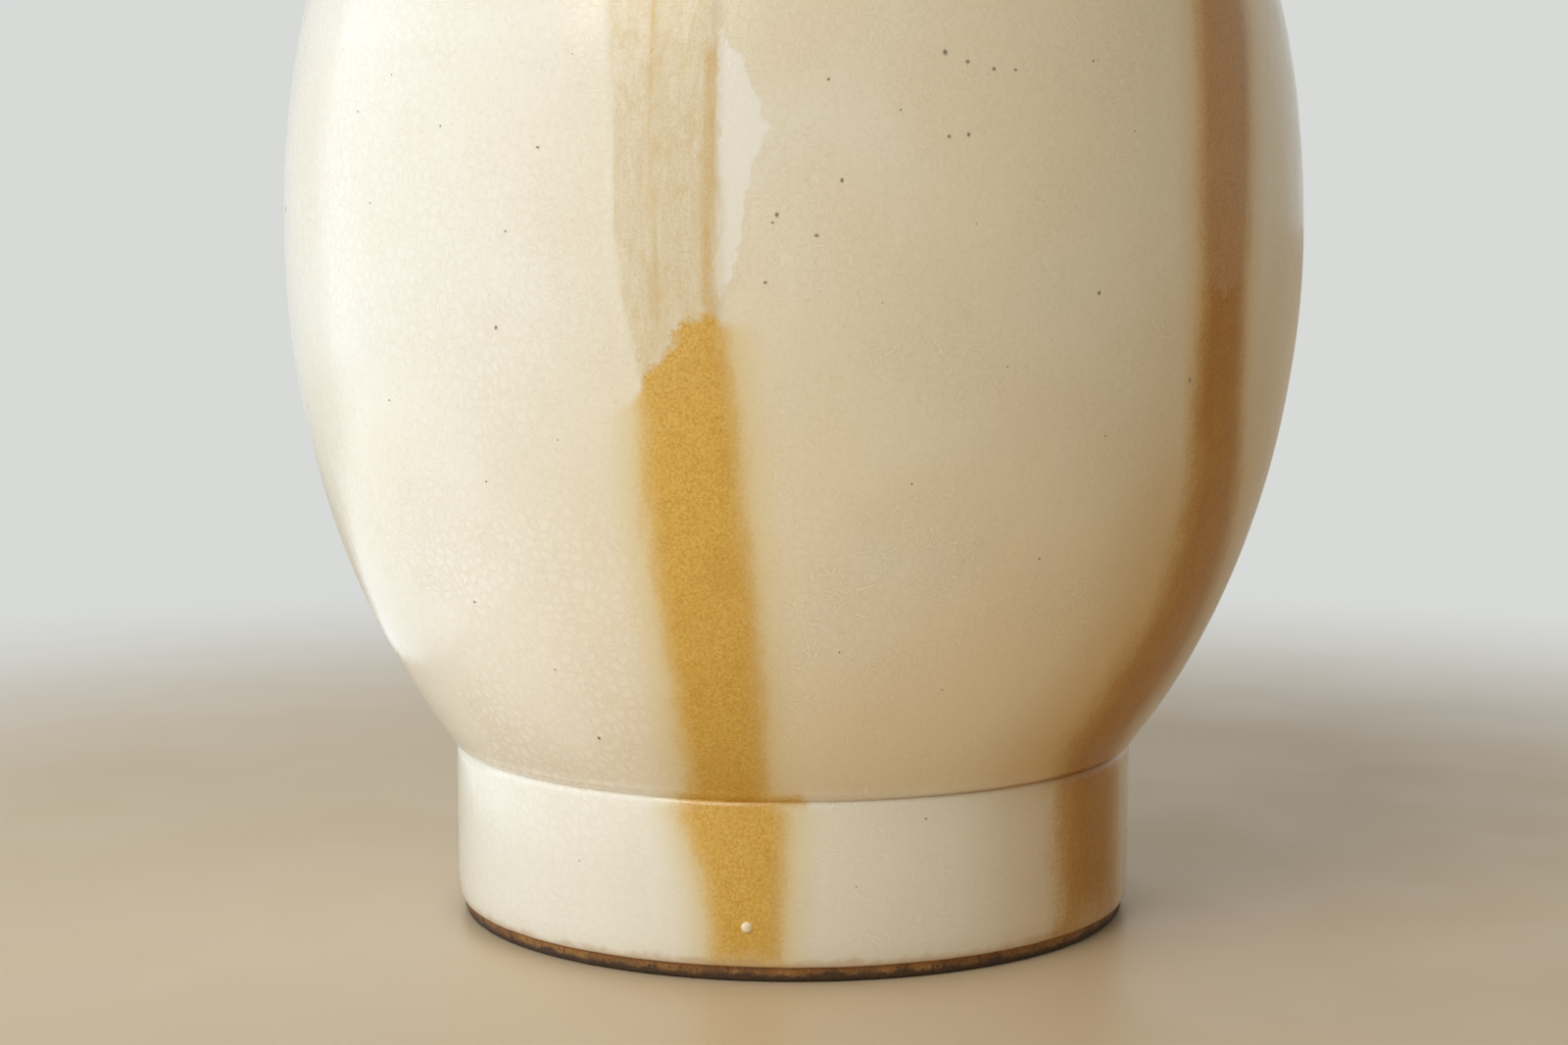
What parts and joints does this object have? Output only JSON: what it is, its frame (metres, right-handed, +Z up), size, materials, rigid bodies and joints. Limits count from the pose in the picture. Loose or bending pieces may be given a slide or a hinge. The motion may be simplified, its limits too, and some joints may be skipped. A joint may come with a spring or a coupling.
{
  "type": "footed moon jar",
  "caption": "Tall ovoid glazed stoneware jar of two joined bowls on a wide straight foot ring, with a short upright neck and iron glaze runs.",
  "frame": {"origin": "centre of the circle on which the foot stands", "axes": "+Z up along the jar's own axis, -Y towards the front that the picture shows, +X to its right"},
  "size_m": [0.3003, 0.3007, 0.4097],
  "materials": {
    "stoneware": "raw fired clay, tan brown, toasted where the glaze ends",
    "joint_slip": "fired slip, a little paler than the clay",
    "ivory_glaze": "glossy ivory glaze with a fine crackle, iron specks and a soft orange-peel surface",
    "iron_glaze": "glossy ochre iron glaze, mottled, soft at its edges"
  },
  "bodies": {
    "root": {"foot_ring": "stoneware", "foot_joint_slip": "joint_slip", "lower_bowl": "stoneware", "belly_joint_slip": "joint_slip", "upper_bowl": "stoneware", "neck_joint_slip": "joint_slip", "neck_ring": "stoneware", "outer_glaze": "ivory_glaze", "inner_glaze": "ivory_glaze", "base_glaze": "ivory_glaze", "iron_runs": "iron_glaze"}
  },
  "joints": []
}
